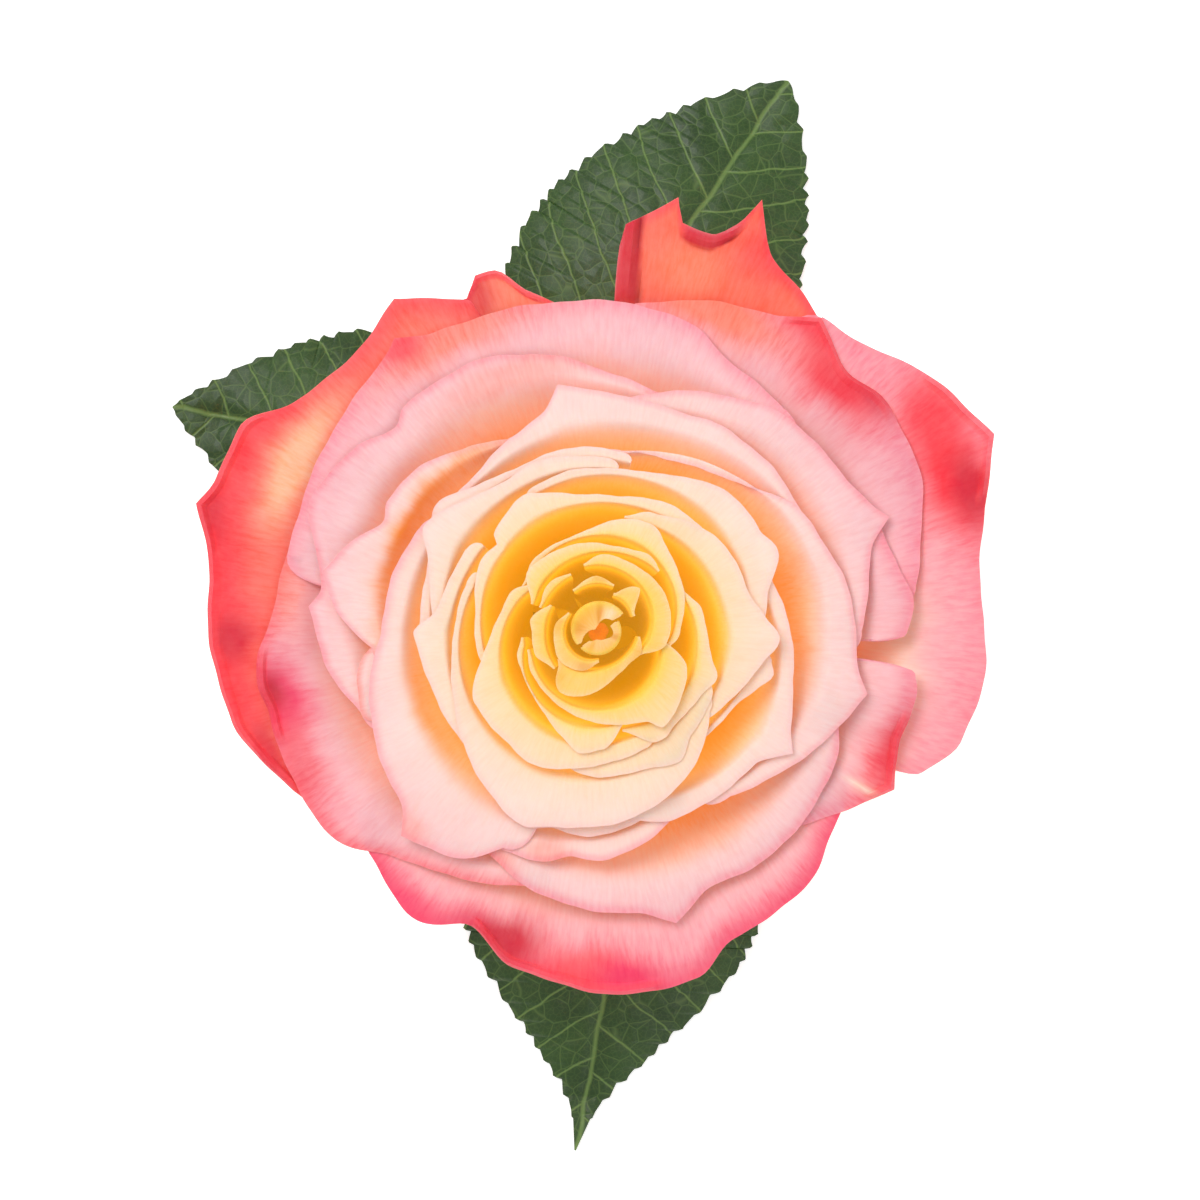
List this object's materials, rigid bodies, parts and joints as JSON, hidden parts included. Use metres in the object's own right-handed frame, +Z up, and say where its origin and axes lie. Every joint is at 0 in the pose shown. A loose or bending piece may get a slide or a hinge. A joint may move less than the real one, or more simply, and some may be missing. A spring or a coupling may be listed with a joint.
{
  "type": "cut rose",
  "caption": "Full rose bloom cut short, lying face up on its stem end and serrated leaves, with layered petals that open outward from a furled heart.",
  "frame": {"origin": "middle of the bounding box, on the surface that the leaves and the stem's cut end rest on", "axes": "+Z up along the bloom's axis, +Y towards the tip of the top leaf, +X to the right seen from above"},
  "size_m": [0.1056, 0.1398, 0.0559],
  "materials": {
    "guard_petals": "soft velvety petal, coral pink with red edges",
    "outer_petals": "soft velvety petal, pink with a deeper edge",
    "ring_petals": "soft satin petal, pale pink to peach",
    "middle_petals": "soft satin petal, cream with a blush lip",
    "heart_petals": "soft satin petal, amber yellow with a cream lip",
    "pistils": "fine matt fibres",
    "hip": "smooth waxy green",
    "sepals": "matt green, finely hairy",
    "stem": "smooth green bark with a pale cut end",
    "leaves": "leathery leaf with a slight gloss and paler veins"
  },
  "bodies": {
    "root": {"heart_bud": "heart_petals", "hip": "hip", "leaf_bottom": "leaves", "leaf_left": "leaves", "leaf_lower_left": "leaves", "leaf_top": "leaves", "petal_core_left": "heart_petals", "petal_core_low": "heart_petals", "petal_core_right": "heart_petals", "petal_core_top": "heart_petals", "petal_guard_bottom": "guard_petals", "petal_guard_left": "guard_petals", "petal_guard_right": "guard_petals", "petal_guard_small": "guard_petals", "petal_guard_top": "guard_petals", "petal_heart_cup": "heart_petals", "petal_heart_far_left": "heart_petals", "petal_heart_left": "heart_petals", "petal_heart_lower_left": "heart_petals", "petal_heart_lower_right": "heart_petals", "petal_heart_right": "heart_petals", "petal_heart_small": "heart_petals", "petal_heart_top": "heart_petals", "petal_heart_upper": "heart_petals", "petal_inner_left": "heart_petals", "petal_inner_low_lip": "heart_petals", "petal_inner_low_right": "heart_petals", "petal_inner_lower": "heart_petals", "petal_inner_right": "heart_petals", "petal_inner_top": "heart_petals", "petal_mid_far_left": "middle_petals", "petal_mid_far_right": "middle_petals", "petal_mid_left": "middle_petals", "petal_mid_lower": "middle_petals", "petal_mid_right": "middle_petals", "petal_mid_upper_left": "middle_petals", "petal_mid_upper_right": "middle_petals", "petal_outer_bottom": "outer_petals", "petal_outer_left": "outer_petals", "petal_outer_lower_right": "outer_petals", "petal_outer_right": "outer_petals", "petal_outer_top": "outer_petals", "petal_outer_upper_right": "outer_petals", "petal_ring_fold": "ring_petals", "petal_ring_lower": "ring_petals", "petal_ring_lower_left": "ring_petals", "petal_ring_petaloid": "ring_petals", "petal_ring_right": "ring_petals", "petal_ring_top": "ring_petals", "petal_ring_upper_left": "ring_petals", "petal_ring_upper_right": "ring_petals", "pistils": "pistils", "sepal_1": "sepals", "sepal_2": "sepals", "sepal_3": "sepals", "sepal_4": "sepals", "sepal_5": "sepals", "stem": "stem"}
  },
  "joints": []
}
